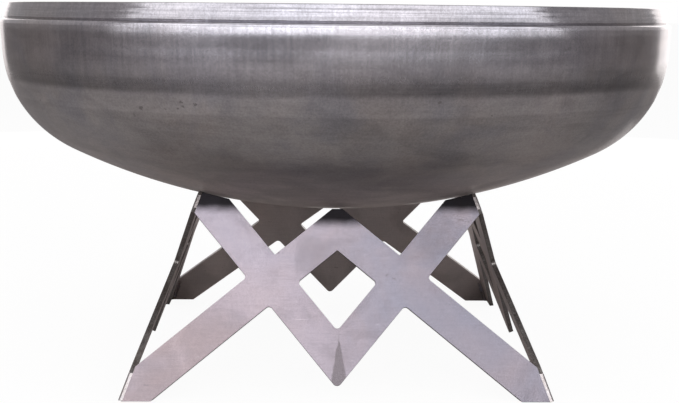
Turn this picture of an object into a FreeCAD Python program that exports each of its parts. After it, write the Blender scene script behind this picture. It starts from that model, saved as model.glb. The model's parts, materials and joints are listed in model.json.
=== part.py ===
import FreeCAD
import Part
import math
import os

# Fire pit: a pressed steel dish resting on a square lattice base, with a lift-out log grate inside.
# Millimetres. +Z is up, Z = 0 is the ground, and the Z axis runs through the middle of the dish.
# The front base plate faces -Y and the right one faces +X.

Vector = FreeCAD.Vector

# ---- driving dimensions: dish ----
BOWL_DIAMETER = 914.4          # 36 in across the straight flange
BOWL_WALL = 4.8                # 3/16 in plate
CROWN_RATIO = 0.9              # crown radius over diameter
KNUCKLE_RATIO = 0.17           # knuckle radius over diameter
FLANGE_HEIGHT = 50.6           # tangent line to rim
JOGGLE_HEIGHT = 31.0           # tangent line to the groove under the rim band
GROOVE_DEPTH = 5.4             # groove bottom, inside the flange radius
BAND_FOOT_INSET = 4.4          # rim band radius under the flange radius, at its foot
BAND_TOP_INSET = 8.8           # the same at its top
GROOVE_RISE = 1.4              # groove bottom to the foot of the rim band
SHOULDER_DROP = 2.4            # straight flange ends this far under the groove bottom
SHOULDER_BEVEL = (1.2, 0.9)    # shoulder corner: inset from the flange, and drop from the groove bottom
JOGGLE_THINNING = 1.0          # inner wall stands this much further in behind the groove
JOGGLE_DROP = 6.0              # inner wall starts to step in this far under the groove bottom
EDGE_BREAK = 0.8               # bevel on the rim's two edges
DRAIN_DIAMETER = 38.1          # 1 1/2 in rain drain in the middle of the crown

# ---- driving dimensions: base ----
BASE_WIDTH = 546.1             # 21 1/2 in across the outer faces at the ground
BASE_LEAN = 20.5               # degrees every plate leans in from upright
PLATE_THICKNESS = 6.35         # 1/4 in plate
LATTICE_BAR = 46.0             # width of each lattice bar
LATTICE_ANGLE = 39.5           # degrees from level of the long leg bars; the others cross at 90
LEG_PEAK = 251.5               # where the two legs' upper lines cross, measured up the plate
VEE_TIP = 16.5                 # where the two cross bars' lower lines meet, up the plate
APEX_HEIGHT = 246.0            # level cut across the middle peak, up the plate
ARM_INNER_HEIGHT = 258.4       # inner top corner of each upper arm, up the plate
ARM_OUTER_HEIGHT = 268.0       # outer top corner of each upper arm, up the plate
CORNER_ROUND = 5.0             # rounded concave corners
TIP_ROUND = 6.0                # rounded vee tip
SHARP_ROUND = 1.2              # laser-cut concave corners that look sharp

# ---- driving dimensions: welds ----
SEAM_DEPTH = 3.4               # outside bevel filled by the corner weld
SEAM_GRIND = 1.2               # how far the ground weld stays under the sharp corner
FILLET_DEPTH = 4.0             # throat of the inside fillet weld
FOOT_SEAM = (1.0, 33.0)        # height range of the foot corner welds
TOP_SEAM = (230.5, 246.0)      # height range of the top corner welds

# ---- driving dimensions: grate ----
GRATE_DIAMETER = 609.6         # 24 in
GRATE_HEIGHT = 120.0           # top of the grate over the dish's inner lowest point
GRATE_RING_WALL = 6.35         # flat bar ring
GRATE_RING_DEPTH = 25.4
GRATE_BAR = 12.7               # square bar
GRATE_BAR_COUNT = 11
GRATE_BAR_PITCH = 54.0
GRATE_BEARER_SPREAD = 240.0    # between the two bearers
GRATE_LEG_SPREAD = 510.0       # between the legs along a bearer
GRATE_LEG = 15.9               # square leg

SEAT_GAP = 0.3                 # clearance between loose pieces that rest on each other

# ---- values worked out from them ----
BOWL_RADIUS = BOWL_DIAMETER / 2.0
CROWN_RADIUS = CROWN_RATIO * BOWL_DIAMETER
KNUCKLE_RADIUS = KNUCKLE_RATIO * BOWL_DIAMETER
KNUCKLE_CENTRE = BOWL_RADIUS - KNUCKLE_RADIUS
CROWN_ANGLE = math.asin(KNUCKLE_CENTRE / (CROWN_RADIUS - KNUCKLE_RADIUS))
TANGENT_HEIGHT = CROWN_RADIUS - (CROWN_RADIUS - KNUCKLE_RADIUS) * math.cos(CROWN_ANGLE)
BASE_HALF = BASE_WIDTH / 2.0
LEAN = math.radians(BASE_LEAN)
FALL = math.tan(math.radians(LATTICE_ANGLE))


def crown_rise(radius):
    """Height of the crown's outer face over its lowest point, at a distance from the axis."""
    return CROWN_RADIUS - math.sqrt(CROWN_RADIUS * CROWN_RADIUS - radius * radius)


def bowl_bottom():
    """Height of the dish's outer lowest point: it rests on the four outer top corners of the base."""
    corner_half = BASE_HALF - ARM_OUTER_HEIGHT * math.sin(LEAN)
    corner_height = ARM_OUTER_HEIGHT * math.cos(LEAN)
    return corner_height + SEAT_GAP - crown_rise(corner_half * math.sqrt(2.0))


BOWL_BOTTOM = bowl_bottom()
GRATE_TOP = BOWL_BOTTOM + BOWL_WALL + GRATE_HEIGHT


# ---- outlines ----
def line_meet(start_a, slope_a, start_b, slope_b):
    """Where height = start + slope * u for line a meets the same for line b, as (u, height)."""
    u = (start_b - start_a) / (slope_a - slope_b)
    return (u, start_a + slope_a * u)


def lattice_points():
    """Corner points of one base plate's right half, in its own plane: u sideways, w up the plate."""
    bar_rise = LATTICE_BAR / math.cos(math.radians(LATTICE_ANGLE))
    bar_run = LATTICE_BAR / math.sin(math.radians(LATTICE_ANGLE))
    leg_upper = (LEG_PEAK, -FALL)
    leg_lower = (LEG_PEAK - bar_rise, -FALL)
    arm_lower = (VEE_TIP, 1.0 / FALL)
    arm_upper = (VEE_TIP + bar_run, 1.0 / FALL)
    side = (BASE_HALF / math.sin(LEAN), -1.0 / math.sin(LEAN))
    return {
        "vee_tip": (0.0, VEE_TIP),
        "under_cross": line_meet(*leg_lower, *arm_lower),
        "foot_inner": (leg_lower[0] / FALL, 0.0),
        "foot_outer": (BASE_HALF, 0.0),
        "foot_shoulder": line_meet(*leg_upper, *side),
        "side_cross": line_meet(*leg_upper, *arm_lower),
        "arm_shoulder": line_meet(*arm_lower, *side),
        "arm_outer": (BASE_HALF - ARM_OUTER_HEIGHT * math.sin(LEAN), ARM_OUTER_HEIGHT),
        "arm_inner": ((ARM_INNER_HEIGHT - arm_upper[0]) * FALL, ARM_INNER_HEIGHT),
        "top_cross": line_meet(*leg_upper, *arm_upper),
        "apex": ((LEG_PEAK - APEX_HEIGHT) / FALL, APEX_HEIGHT),
        "diamond_bottom": (0.0, arm_upper[0]),
        "diamond_side": line_meet(*leg_lower, *arm_upper),
        "diamond_top": (0.0, leg_lower[0]),
    }


def rounded_wire(corners):
    """Closed wire in the XY plane through (x, y, radius) corners, with an arc at each radius."""
    count = len(corners)
    cuts = []
    for index, (x, y, radius) in enumerate(corners):
        here = Vector(x, y, 0.0)
        before = Vector(corners[index - 1][0], corners[index - 1][1], 0.0) - here
        after = Vector(corners[(index + 1) % count][0], corners[(index + 1) % count][1], 0.0) - here
        before.normalize()
        after.normalize()
        half_turn = before.getAngle(after) / 2.0
        if radius <= 0.0:
            cuts.append((here, None, here))
            continue
        reach = radius / math.tan(half_turn)
        middle = before + after
        middle.normalize()
        centre = here + middle * (radius / math.sin(half_turn))
        cuts.append((here + before * reach, centre - middle * radius, here + after * reach))
    edges = []
    for index, (arc_start, arc_middle, arc_end) in enumerate(cuts):
        if arc_middle is not None:
            edges.append(Part.Arc(arc_start, arc_middle, arc_end).toShape())
        edges.append(Part.makeLine(arc_end, cuts[(index + 1) % count][0]))
    return Part.Wire(edges)


def mirrored(half):
    """The left half of an outline: the right half's off-axis corners reversed, with u negated."""
    return [(-u, w, radius) for u, w, radius in reversed(half) if u > 0.0]


def plate_outline():
    """Outer wire of one lattice plate."""
    points = lattice_points()
    rounds = {"vee_tip": TIP_ROUND, "under_cross": CORNER_ROUND, "side_cross": CORNER_ROUND,
              "top_cross": SHARP_ROUND}
    order = ("vee_tip", "under_cross", "foot_inner", "foot_outer", "foot_shoulder", "side_cross",
             "arm_shoulder", "arm_outer", "arm_inner", "top_cross", "apex")
    half = [(*points[name], rounds.get(name, 0.0)) for name in order]
    return rounded_wire(half + mirrored(half))


def diamond_outline():
    """Wire of the diamond opening in the middle of a plate."""
    points = lattice_points()
    half = [(*points["diamond_bottom"], CORNER_ROUND), (*points["diamond_side"], CORNER_ROUND),
            (*points["diamond_top"], SHARP_ROUND)]
    return rounded_wire(half + mirrored(half))


# ---- base ----
def quarter_wedge():
    """Space a plate may fill: in front of both diagonals and above the ground."""
    reach = BASE_WIDTH
    outline = Part.makePolygon([Vector(0, 0, 0), Vector(-reach, -reach, 0),
                                Vector(reach, -reach, 0), Vector(0, 0, 0)])
    return Part.Face(outline).extrude(Vector(0, 0, reach))


def lean_frustum(half_width):
    """Solid square frustum whose faces lean in like the plates, as far up as the plates' tops."""
    height = ARM_OUTER_HEIGHT * math.cos(LEAN)
    top_half = half_width - height * math.tan(LEAN)

    def square(half, z):
        return Part.makePolygon([Vector(-half, -half, z), Vector(half, -half, z), Vector(half, half, z),
                                 Vector(-half, half, z), Vector(-half, -half, z)])

    return Part.makeLoft([square(half_width, 0.0), square(top_half, height)], True, True)


def corner_slab(half_width, inner_depth, outer_depth):
    """Slab along a frustum's front right corner line, between two depths under its sharp corner.

    It runs past both ends of the corner and past both faces, so that it cuts clean through.
    """
    along = Vector(-math.sin(LEAN), math.sin(LEAN), math.cos(LEAN))
    outward = Vector(math.cos(LEAN), -math.cos(LEAN), 2.0 * math.sin(LEAN))
    along.normalize()
    outward.normalize()
    across = along.cross(outward)
    corner = Vector(half_width, -half_width, 0.0)
    length = 2.0 * ARM_OUTER_HEIGHT
    overrun = length / 4.0
    width = 3.0 * PLATE_THICKNESS
    block = Part.makeBox(length, inner_depth - outer_depth, width)
    turn = FreeCAD.Matrix(along.x, outward.x, across.x, 0.0,
                          along.y, outward.y, across.y, 0.0,
                          along.z, outward.z, across.z, 0.0,
                          0.0, 0.0, 0.0, 1.0)
    block.Placement = FreeCAD.Placement(turn)
    block.translate(corner - along * overrun - outward * inner_depth - across * (width / 2.0))
    return block


def turned(shape, degrees):
    """A copy of a shape turned about the vertical axis."""
    copy = shape.copy()
    copy.rotate(Vector(0, 0, 0), Vector(0, 0, 1), degrees)
    return copy


def front_plate():
    """Lattice plate facing -Y: cut in its own plane, leaned in, mitred, trimmed flat on the ground."""
    inward = Vector(0.0, 0.0, -PLATE_THICKNESS)
    solid = Part.Face(plate_outline()).extrude(inward)
    solid = solid.cut(Part.Face(diamond_outline()).extrude(inward))
    solid.rotate(Vector(0, 0, 0), Vector(1, 0, 0), 90.0 - BASE_LEAN)
    solid.translate(Vector(0.0, -BASE_HALF, 0.0))
    solid = solid.common(quarter_wedge())
    bevel = corner_slab(BASE_HALF, SEAM_DEPTH, -SEAM_DEPTH)
    return solid.cut(bevel).cut(bevel.mirror(Vector(0, 0, 0), Vector(1, 0, 0)))


def corner_weld(heights):
    """Weld at the front right corner: a ground outside seam and an inside fillet."""
    low, high = heights
    band = Part.makeBox(BASE_WIDTH, BASE_WIDTH, high - low, Vector(0.0, -BASE_WIDTH, low))
    inner_half = BASE_HALF - PLATE_THICKNESS / math.cos(LEAN)
    seam = lean_frustum(BASE_HALF).common(corner_slab(BASE_HALF, SEAM_DEPTH, SEAM_GRIND))
    fillet = lean_frustum(inner_half).common(corner_slab(inner_half, FILLET_DEPTH, -FILLET_DEPTH))
    return Part.makeCompound([seam.common(band), fillet.common(band)])


def base_parts():
    """Four plates and the welds at their four foot corners and four top corners."""
    plate = front_plate()
    parts = {}
    for side, degrees in (("front", 0), ("right", 90), ("back", 180), ("left", 270)):
        parts["base_plate_" + side] = turned(plate, degrees)
    for kind, heights in (("foot_weld_", FOOT_SEAM), ("top_weld_", TOP_SEAM)):
        weld = corner_weld(heights)
        for corner, degrees in (("front_right", 0), ("back_right", 90), ("back_left", 180), ("front_left", 270)):
            parts[kind + corner] = turned(weld, degrees)
    return parts


# ---- dish ----
def arc_between(radius, centre, start_angle, end_angle):
    """Arc in the XZ plane about (x, z); angles are measured from straight down towards +X."""
    def at(angle):
        return Vector(centre[0] + radius * math.sin(angle), 0.0, centre[1] - radius * math.cos(angle))

    return Part.Arc(at(start_angle), at((start_angle + end_angle) / 2.0), at(end_angle)).toShape()


def side_edges(offset):
    """Drain edge to tangent line along the dish's outer face, moved inward by an offset."""
    crown = CROWN_RADIUS - offset
    knuckle = KNUCKLE_RADIUS - offset
    drain_angle = math.asin(DRAIN_DIAMETER / 2.0 / crown)
    return [
        arc_between(crown, (0.0, CROWN_RADIUS), drain_angle, CROWN_ANGLE),
        arc_between(knuckle, (KNUCKLE_CENTRE, TANGENT_HEIGHT), CROWN_ANGLE, math.pi / 2.0),
    ]


def bowl_shell():
    """The dish: crown, knuckle, straight flange, groove and a rim band that leans in."""
    outer = side_edges(0.0)
    inner = side_edges(BOWL_WALL)
    groove = TANGENT_HEIGHT + JOGGLE_HEIGHT
    rim = TANGENT_HEIGHT + FLANGE_HEIGHT
    foot = BOWL_RADIUS - BAND_FOOT_INSET
    top = BOWL_RADIUS - BAND_TOP_INSET
    bevel_inset, bevel_drop = SHOULDER_BEVEL
    rail = [
        (BOWL_RADIUS, groove - SHOULDER_DROP),
        (BOWL_RADIUS - bevel_inset, groove - bevel_drop),
        (BOWL_RADIUS - GROOVE_DEPTH, groove),
        (foot, groove + GROOVE_RISE),
        (top, rim - EDGE_BREAK),
        (top - EDGE_BREAK, rim),
        (top - BOWL_WALL + EDGE_BREAK, rim),
        (top - BOWL_WALL, rim - EDGE_BREAK),
        (foot - BOWL_WALL - JOGGLE_THINNING, groove + GROOVE_RISE),
        (BOWL_RADIUS - BOWL_WALL, groove - JOGGLE_DROP),
    ]
    edges = list(outer)
    last = outer[-1].Vertexes[-1].Point
    for x, z in rail:
        point = Vector(x, 0.0, z)
        edges.append(Part.makeLine(last, point))
        last = point
    edges.append(Part.makeLine(last, inner[-1].Vertexes[-1].Point))
    edges.extend(inner)
    edges.append(Part.makeLine(inner[0].Vertexes[0].Point, outer[0].Vertexes[0].Point))
    profile = Part.Wire(Part.__sortEdges__(edges))
    shell = Part.Face(profile).revolve(Vector(0, 0, 0), Vector(0, 0, 1), 360.0)
    shell.translate(Vector(0.0, 0.0, BOWL_BOTTOM))
    return shell


# ---- grate ----
def grate_core():
    """Round column inside the grate ring, used to trim what is welded to the ring."""
    radius = GRATE_DIAMETER / 2.0 - GRATE_RING_WALL
    return Part.makeCylinder(radius, 4.0 * GRATE_HEIGHT, Vector(0.0, 0.0, GRATE_TOP - 2.0 * GRATE_HEIGHT))


def square_bar(centre_x, centre_y, run_x, run_y, top):
    """Square bar whose top is at a height, run_x long along X or run_y long along Y."""
    size_x = max(run_x, GRATE_BAR)
    size_y = max(run_y, GRATE_BAR)
    corner = Vector(centre_x - size_x / 2.0, centre_y - size_y / 2.0, top - GRATE_BAR)
    return Part.makeBox(size_x, size_y, GRATE_BAR, corner)


def grate_leg(x, y):
    """Leg from the bearer's underside to the dish, with its foot cut to the dish's curve."""
    top = GRATE_TOP - 2.0 * GRATE_BAR
    height = top - BOWL_BOTTOM
    corner = Vector(x - GRATE_LEG / 2.0, y - GRATE_LEG / 2.0, BOWL_BOTTOM)
    inside = Part.makeSphere(CROWN_RADIUS - BOWL_WALL - SEAT_GAP, Vector(0.0, 0.0, BOWL_BOTTOM + CROWN_RADIUS))
    return Part.makeBox(GRATE_LEG, GRATE_LEG, height, corner).common(inside)


def grate_parts():
    """Ring, parallel bars, two bearers under them and four legs."""
    core = grate_core()
    disc = Part.makeCylinder(GRATE_DIAMETER / 2.0, GRATE_RING_DEPTH, Vector(0.0, 0.0, GRATE_TOP - GRATE_RING_DEPTH))
    parts = {"grate_ring": disc.cut(core)}
    middle = (GRATE_BAR_COUNT - 1) / 2.0
    for index in range(GRATE_BAR_COUNT):
        x = (index - middle) * GRATE_BAR_PITCH
        bar = square_bar(x, 0.0, 0.0, GRATE_DIAMETER, GRATE_TOP).common(core)
        parts["grate_bar_%02d" % (index + 1)] = bar
    for name, side in (("front", -1.0), ("back", 1.0)):
        y = side * GRATE_BEARER_SPREAD / 2.0
        bearer = square_bar(0.0, y, GRATE_DIAMETER, 0.0, GRATE_TOP - GRATE_BAR).common(core)
        parts["grate_bearer_" + name] = bearer
        for hand, way in (("left", -1.0), ("right", 1.0)):
            parts["grate_leg_%s_%s" % (name, hand)] = grate_leg(way * GRATE_LEG_SPREAD / 2.0, y)
    return parts


def export(parts):
    """Write one STEP file per node."""
    os.makedirs("parts", exist_ok=True)
    for name, shape in parts.items():
        shape.exportStep("parts/%s.step" % name)
        print("%-24s %9.1f cm3  %s" % (name, shape.Volume / 1000.0, shape.isValid()))


def main():
    """Build every part of the fire pit and write it out."""
    parts = {"bowl_shell": bowl_shell()}
    parts.update(base_parts())
    parts.update(grate_parts())
    export(parts)
    print("dish bottom %.2f, rim %.2f" % (BOWL_BOTTOM, BOWL_BOTTOM + TANGENT_HEIGHT + FLANGE_HEIGHT))


main()
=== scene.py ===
"""Looks of the fire pit: pressed dish, lattice base, corner welds and log grate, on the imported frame."""

import json
import logging
import math
from dataclasses import dataclass
from enum import Enum

import bmesh
import bpy
from mathutils import Matrix, Vector

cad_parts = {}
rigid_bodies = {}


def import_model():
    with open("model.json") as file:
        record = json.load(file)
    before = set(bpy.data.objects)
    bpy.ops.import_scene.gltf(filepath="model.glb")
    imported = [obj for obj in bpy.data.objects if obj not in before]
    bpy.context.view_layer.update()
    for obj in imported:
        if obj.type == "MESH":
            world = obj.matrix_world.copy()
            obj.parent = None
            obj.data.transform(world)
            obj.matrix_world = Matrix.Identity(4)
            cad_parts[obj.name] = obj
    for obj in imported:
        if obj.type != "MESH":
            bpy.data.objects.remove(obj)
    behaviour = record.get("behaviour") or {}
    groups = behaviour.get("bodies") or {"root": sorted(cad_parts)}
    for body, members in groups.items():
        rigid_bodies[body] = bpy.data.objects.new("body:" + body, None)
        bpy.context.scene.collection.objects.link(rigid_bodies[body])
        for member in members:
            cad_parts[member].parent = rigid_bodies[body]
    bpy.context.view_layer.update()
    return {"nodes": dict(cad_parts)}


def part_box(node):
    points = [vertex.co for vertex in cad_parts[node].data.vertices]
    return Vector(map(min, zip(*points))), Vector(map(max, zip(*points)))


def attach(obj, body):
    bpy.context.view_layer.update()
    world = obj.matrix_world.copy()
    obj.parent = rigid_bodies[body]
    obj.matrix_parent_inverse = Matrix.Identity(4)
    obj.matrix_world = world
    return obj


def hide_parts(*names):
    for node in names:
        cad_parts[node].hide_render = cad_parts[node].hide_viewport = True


LOG = logging.getLogger("fire_pit")
MM = 0.001
BASE_HALF = 273.05 * MM
PLATE_LEAN = 20.5
Point2 = tuple[float, float]
Colour = tuple[float, float, float, float]


class Body(Enum):
    """The moving bodies of the frame."""

    BASE = "base"
    DISH = "bowl"
    GRATE = "grate"


class Slot(Enum):
    """The record's material slots."""

    DISH = "dish_steel"
    PLATE = "plate_steel"
    WELD = "weld_metal"
    GRATE = "grate_steel"


# ---------------------------------------------------------------- shader tools


class Shade:
    """Short calls for building a shader or node-group tree."""

    def __init__(self, tree: bpy.types.NodeTree) -> None:
        """Keep the tree that nodes are added to."""
        self.tree = tree

    def node(self, kind: str, **settings: object) -> bpy.types.Node:
        """Add a node.

        Args:
            kind: Blender's node type name.
            settings: properties to set on the new node.

        Returns:
            The new node.
        """
        made = self.tree.nodes.new(kind)
        for name, value in settings.items():
            setattr(made, name, value)
        return made

    def feed(self, socket: bpy.types.NodeSocket, value: object) -> None:
        """Link a socket to another one, or set its own value.

        Args:
            socket: the input to fill.
            value: an output socket to link from, or a plain value.
        """
        if isinstance(value, bpy.types.NodeSocket):
            self.tree.links.new(value, socket)
        elif value is not None:
            socket.default_value = value

    def maths(self, operation: str, first: object, second: object = None,
              clamp: bool = False) -> bpy.types.NodeSocket:
        """Add a Math node.

        Args:
            operation: Blender's operation name.
            first: first value or socket.
            second: second value or socket.
            clamp: whether the result is kept between 0 and 1.

        Returns:
            The node's output.
        """
        made = self.node("ShaderNodeMath", operation=operation, use_clamp=clamp)
        for socket, value in zip(made.inputs, (first, second)):
            self.feed(socket, value)
        return made.outputs[0]

    def times(self, first: object, second: object, clamp: bool = False) -> bpy.types.NodeSocket:
        """Return two values multiplied."""
        return self.maths("MULTIPLY", first, second, clamp)

    def plus(self, first: object, second: object, clamp: bool = False) -> bpy.types.NodeSocket:
        """Return two values added."""
        return self.maths("ADD", first, second, clamp)

    def less(self, first: object, second: object, clamp: bool = False) -> bpy.types.NodeSocket:
        """Return the first value less the second."""
        return self.maths("SUBTRACT", first, second, clamp)

    def larger(self, first: object, second: object) -> bpy.types.NodeSocket:
        """Return the larger of two values."""
        return self.maths("MAXIMUM", first, second)

    def vector(self, operation: str, first: object, second: object = None,
               scale: object = None) -> bpy.types.NodeSocket:
        """Add a Vector Math node.

        Args:
            operation: Blender's operation name.
            first: first vector or socket.
            second: second vector or socket.
            scale: factor for the SCALE operation.

        Returns:
            The node's vector output.
        """
        made = self.node("ShaderNodeVectorMath", operation=operation)
        self.feed(made.inputs[0], first)
        self.feed(made.inputs[1], second)
        if scale is not None:
            self.feed(made.inputs["Scale"], scale)
        return made.outputs["Vector"]

    def noise(self, where: object, scale: object, detail: float = 3.0, roughness: float = 0.5,
              distortion: float = 0.0) -> bpy.types.NodeSocket:
        """Add a Noise texture.

        Args:
            where: coordinates.
            scale: size of the pattern.
            detail: octaves.
            roughness: weight of the finer octaves.
            distortion: how far the pattern is warped.

        Returns:
            The texture's value, about 0 to 1.
        """
        made = self.node("ShaderNodeTexNoise")
        self.feed(made.inputs["Vector"], where)
        self.feed(made.inputs["Scale"], scale)
        made.inputs["Detail"].default_value = detail
        made.inputs["Roughness"].default_value = roughness
        made.inputs["Distortion"].default_value = distortion
        return made.outputs[0]

    def cells(self, where: object, scale: object) -> bpy.types.NodeSocket:
        """Add a Voronoi texture.

        Args:
            where: coordinates.
            scale: cells to the unit.

        Returns:
            The distance to the nearest cell's middle.
        """
        made = self.node("ShaderNodeTexVoronoi")
        self.feed(made.inputs["Vector"], where)
        self.feed(made.inputs["Scale"], scale)
        return made.outputs["Distance"]

    def remap(self, value: object, low: object, high: object, to_low: object = 0.0, to_high: object = 1.0,
              smooth: bool = True) -> bpy.types.NodeSocket:
        """Map a value's range onto another one, held at both ends.

        Args:
            value: the value or socket.
            low: start of the range read.
            high: end of the range read.
            to_low: result at the start.
            to_high: result at the end.
            smooth: whether the ends are eased.

        Returns:
            The mapped value.
        """
        made = self.node("ShaderNodeMapRange", interpolation_type="SMOOTHSTEP" if smooth else "LINEAR")
        for name, given in (("Value", value), ("From Min", low), ("From Max", high), ("To Min", to_low),
                            ("To Max", to_high)):
            self.feed(made.inputs[name], given)
        return made.outputs["Result"]

    def swing(self, mask: object, low: float, high: float) -> bpy.types.NodeSocket:
        """Return a 0 to 1 mask spread evenly over another range."""
        return self.remap(mask, 0.0, 1.0, low, high, smooth=False)

    def blend(self, factor: object, first: object, second: object, mode: str = "MIX") -> bpy.types.NodeSocket:
        """Mix two colours.

        Args:
            factor: how much of the second colour shows.
            first: colour or socket.
            second: colour or socket.
            mode: Blender's blend type.

        Returns:
            The mixed colour.
        """
        made = self.node("ShaderNodeMix", data_type="RGBA", blend_type=mode)
        self.feed(made.inputs["Factor"], factor)
        self.feed(made.inputs[6], first)
        self.feed(made.inputs[7], second)
        return made.outputs[2]

    def object_place(self) -> bpy.types.NodeSocket:
        """Return the Object coordinates."""
        return self.node("ShaderNodeTexCoord").outputs["Object"]

    def split(self, vector: object) -> tuple[bpy.types.NodeSocket, ...]:
        """Take a vector apart.

        Args:
            vector: the vector's socket.

        Returns:
            Its X, Y and Z sockets.
        """
        made = self.node("ShaderNodeSeparateXYZ")
        self.feed(made.inputs[0], vector)
        return tuple(made.outputs)

    def join(self, x: object, y: object, z: object) -> bpy.types.NodeSocket:
        """Make a vector of three values or sockets.

        Args:
            x: first part.
            y: second part.
            z: third part.

        Returns:
            The vector.
        """
        made = self.node("ShaderNodeCombineXYZ")
        for socket, value in zip(made.inputs, (x, y, z)):
            self.feed(socket, value)
        return made.outputs[0]

    def darken(self, colour: object, level: object) -> bpy.types.NodeSocket:
        """Return a colour multiplied by a level, which may pass 1."""
        return self.blend(1.0, colour, self.join(level, level, level), "MULTIPLY")

    def relief(self, metal: bpy.types.Node, height: object, strength: float, distance: float,
               normal: object = None) -> None:
        """Give a metal fine relief.

        Args:
            metal: the Principled BSDF node.
            height: socket of the relief's height.
            strength: share of the relief that shows.
            distance: height of the relief in metres.
            normal: socket of the normal it starts from, where that isn't the surface's own.
        """
        bump = self.node("ShaderNodeBump")
        bump.inputs["Strength"].default_value = strength
        bump.inputs["Distance"].default_value = distance
        self.feed(bump.inputs["Normal"], normal)
        self.feed(bump.inputs["Height"], height)
        self.feed(metal.inputs["Normal"], bump.outputs[0])

    def group(self, tree: bpy.types.NodeTree, **inputs: object) -> dict[str, bpy.types.NodeSocket]:
        """Place a shared effect.

        Args:
            tree: the node group.
            inputs: values or sockets by input name, with spaces as underscores.

        Returns:
            The group's outputs by name.
        """
        made = self.node("ShaderNodeGroup", node_tree=tree)
        for name, value in inputs.items():
            self.feed(made.inputs[name.replace("_", " ")], value)
        return {socket.name: socket for socket in made.outputs}


def new_group(name: str, inputs: dict[str, tuple[str, object]],
              outputs: dict[str, str]) -> tuple[Shade, bpy.types.Node, bpy.types.Node]:
    """Start a shader node group.

    Args:
        name: the group's name.
        inputs: socket type and default by name.
        outputs: socket type by name.

    Returns:
        Its Shade, input node and output node.
    """
    tree = bpy.data.node_groups.new(name, "ShaderNodeTree")
    for label, (kind, default) in inputs.items():
        socket = tree.interface.new_socket(name=label, in_out="INPUT", socket_type="NodeSocket" + kind)
        if default is not None:
            socket.default_value = default
    for label, kind in outputs.items():
        tree.interface.new_socket(name=label, in_out="OUTPUT", socket_type="NodeSocket" + kind)
    shade = Shade(tree)
    return shade, shade.node("NodeGroupInput"), shade.node("NodeGroupOutput")


@dataclass
class Effects:
    """The shader node groups that several finishes share, each built once."""

    mottle: bpy.types.NodeTree
    drawn: bpy.types.NodeTree
    scratches: bpy.types.NodeTree
    specks: bpy.types.NodeTree

    @classmethod
    def build(cls) -> "Effects":
        """Return every shared effect, newly built."""
        return cls(cls._mottle(), cls._drawn(), cls._scratches(), cls._specks())

    @staticmethod
    def _mottle() -> bpy.types.NodeTree:
        """Slow colour drift of bare steel: two cloud masks and a fine grain.

        Returns:
            A group with Warm, Cool and Grain outputs.
        """
        shade, given, out = new_group(
            "steel_mottle", {"Vector": ("Vector", None), "Scale": ("Float", 6.0)},
            {"Warm": "Float", "Cool": "Float", "Grain": "Float"})
        place, scale = given.outputs[:2]
        warm = shade.noise(place, scale, 4.0, 0.55, 0.6)
        moved = shade.vector("ADD", place, (3.7, 1.9, 5.3))
        cool = shade.noise(moved, shade.times(scale, 1.7), 4.0, 0.6, 0.4)
        grain = shade.noise(place, shade.times(scale, 60.0), 3.0, 0.7)
        shade.feed(out.inputs["Warm"], shade.remap(warm, 0.38, 0.66))
        shade.feed(out.inputs["Cool"], shade.remap(cool, 0.40, 0.68))
        shade.feed(out.inputs["Grain"], shade.remap(grain, 0.30, 0.70, smooth=False))
        return shade.tree

    @staticmethod
    def _drawn() -> bpy.types.NodeTree:
        """Long fine lines along one direction, as rolling and brushing leave.

        Returns:
            A group with a Lines output, about 0 to 1.
        """
        shade, given, out = new_group(
            "drawn_lines", {"Vector": ("Vector", None), "Stretch": ("Vector", (2.0, 60.0, 60.0))},
            {"Lines": "Float"})
        place, stretch = given.outputs[:2]
        turned = shade.vector("MULTIPLY", place, stretch)
        coarse = shade.noise(turned, 1.0, 2.0, 0.6)
        fine = shade.noise(turned, 4.3, 3.0, 0.7)
        both = shade.plus(shade.times(coarse, 0.55), shade.times(fine, 0.45))
        shade.feed(out.inputs["Lines"], shade.remap(both, 0.34, 0.66, smooth=False))
        return shade.tree

    @staticmethod
    def _scratches() -> bpy.types.NodeTree:
        """Scattered thin handling scratches.

        Returns:
            A group with a Mask output that is 1 on a scratch.
        """
        shade, given, out = new_group(
            "handling_scratches",
            {"Vector": ("Vector", None), "Scale": ("Float", 14.0), "Amount": ("Float", 0.5)},
            {"Mask": "Float"})
        place, scale, amount = given.outputs[:3]
        bent = shade.vector("ADD", place, shade.join(shade.noise(place, 3.0, 1.0), 0.0, 0.0))
        total: object = 0.0
        for index, turn in enumerate((0.5, 2.1, 3.4)):
            mapping = shade.node("ShaderNodeMapping")
            shade.feed(mapping.inputs["Vector"], bent)
            mapping.inputs["Rotation"].default_value = (0.35 * index, turn, 0.9 * turn)
            mapping.inputs["Scale"].default_value = (1.0, 16.0, 16.0)
            line = shade.cells(mapping.outputs[0], scale)
            thin = shade.remap(line, 0.02, 0.055, 1.0, 0.0)
            total = shade.larger(total, thin)
        where = shade.noise(place, shade.times(scale, 0.6), 2.0)
        gate = shade.remap(shade.plus(where, shade.times(amount, 0.3)), 0.62, 0.72)
        shade.feed(out.inputs["Mask"], shade.times(total, gate, clamp=True))
        return shade.tree

    @staticmethod
    def _specks() -> bpy.types.NodeTree:
        """Small dark marks and pressed-in specks.

        Returns:
            A group with a Mask output that is 1 in a speck.
        """
        shade, given, out = new_group(
            "steel_specks", {"Vector": ("Vector", None), "Scale": ("Float", 60.0), "Amount": ("Float", 0.5)},
            {"Mask": "Float"})
        place, scale, amount = given.outputs[:3]
        warped = shade.vector("ADD", place, shade.vector("SCALE", shade.join(
            shade.noise(place, shade.times(scale, 2.0), 2.0), 0.0, 0.0), scale=0.02))
        dot = shade.cells(warped, scale)
        size = shade.remap(shade.noise(place, shade.times(scale, 0.18), 2.0), 0.45, 0.75, 0.0, 0.30)
        reach = shade.times(size, amount)
        mask = shade.remap(shade.less(reach, dot), 0.0, 0.06)
        shade.feed(out.inputs["Mask"], mask)
        return shade.tree


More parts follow.
